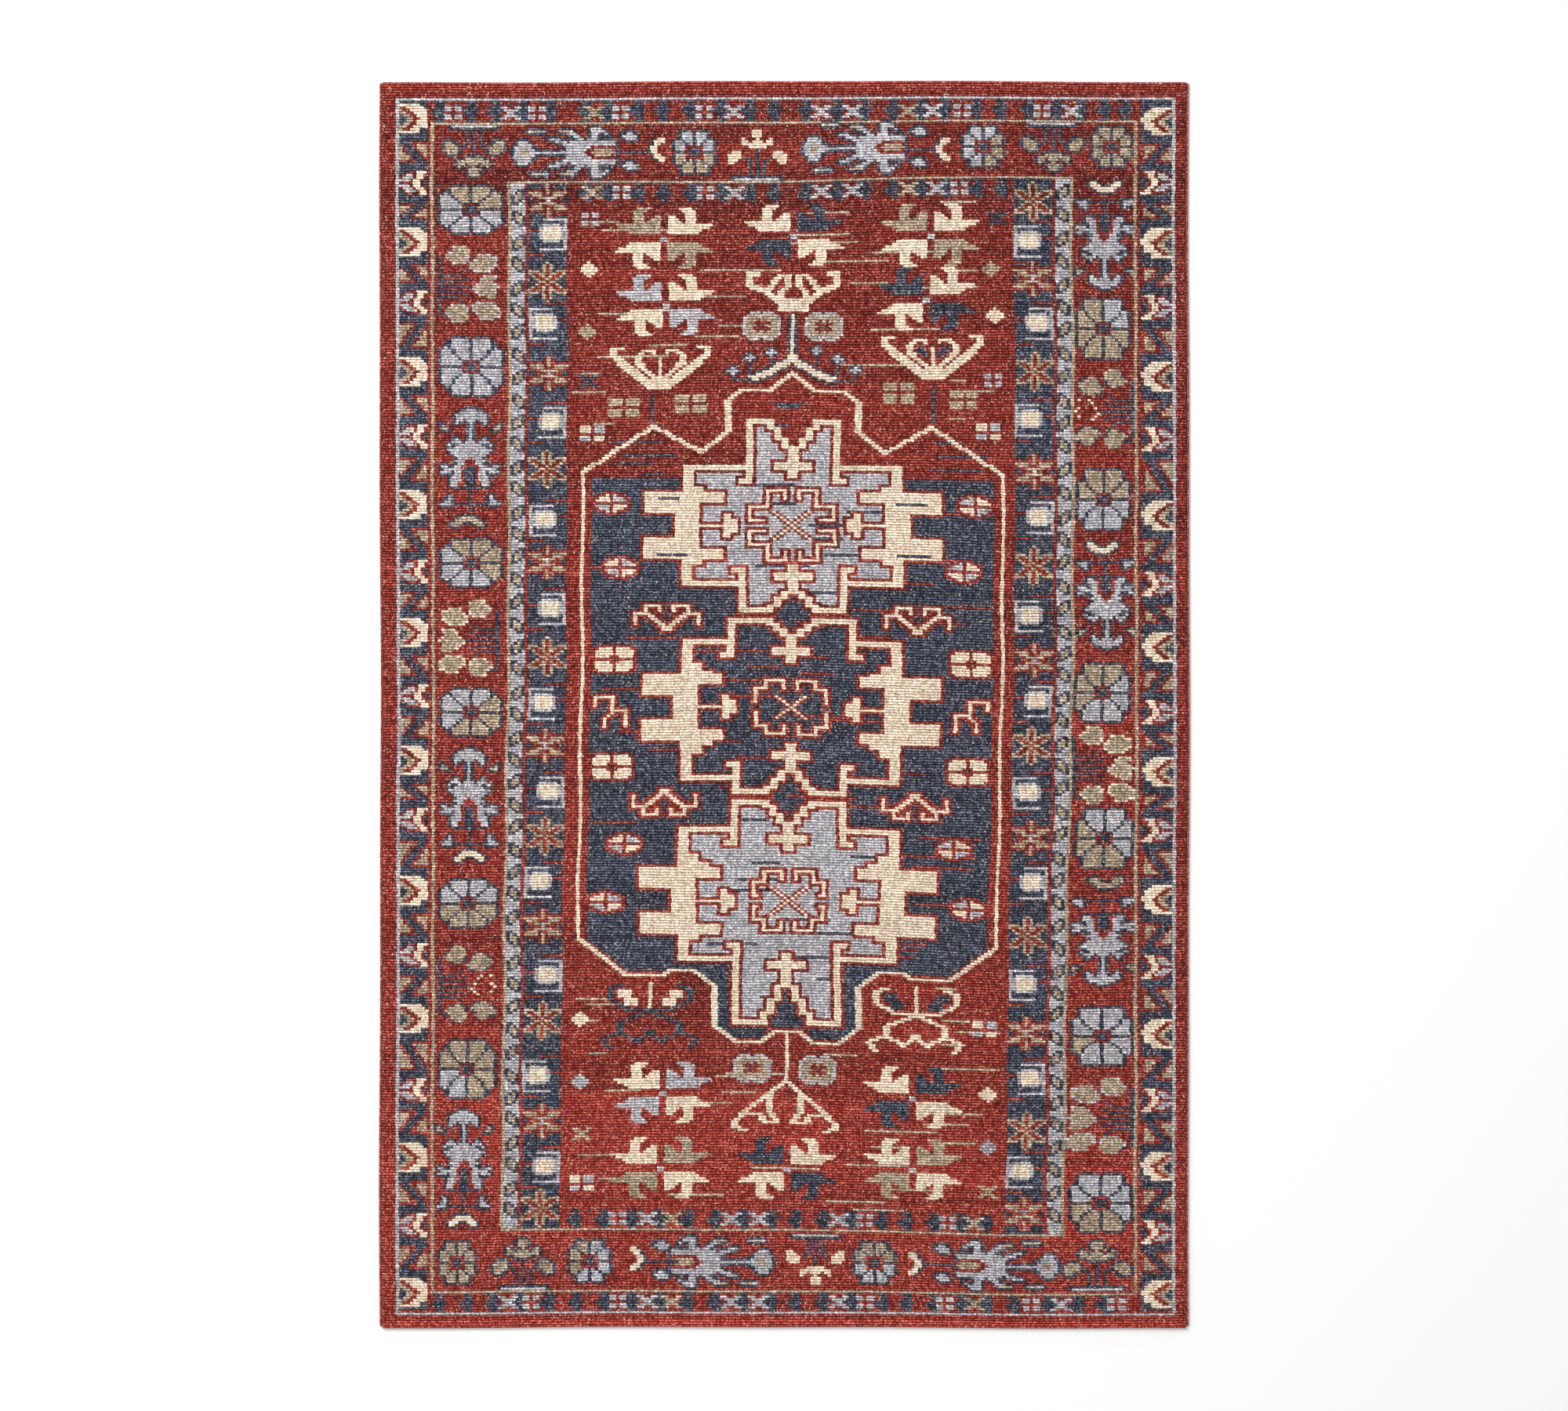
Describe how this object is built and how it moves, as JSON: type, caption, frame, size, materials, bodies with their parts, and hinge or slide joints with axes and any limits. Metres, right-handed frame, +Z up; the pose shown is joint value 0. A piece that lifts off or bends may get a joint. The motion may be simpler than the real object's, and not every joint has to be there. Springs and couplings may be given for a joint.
{
  "type": "hand-knotted wool rug",
  "caption": "Rectangular hand-knotted wool rug lying flat, with bordered medallion pile, overcast side cords and plain ends.",
  "frame": {"origin": "middle of the underside, on the floor", "axes": "+X across the width, +Y along the length towards the end shown at the top of the picture, +Z up out of the pile"},
  "size_m": [1.5511, 2.3856, 0.01],
  "materials": {
    "pile_wool": "matte",
    "cord_wool": "matte"
  },
  "bodies": {
    "root": {"rug_body": "pile_wool", "selvedge_left": "cord_wool", "selvedge_right": "cord_wool"}
  },
  "joints": []
}
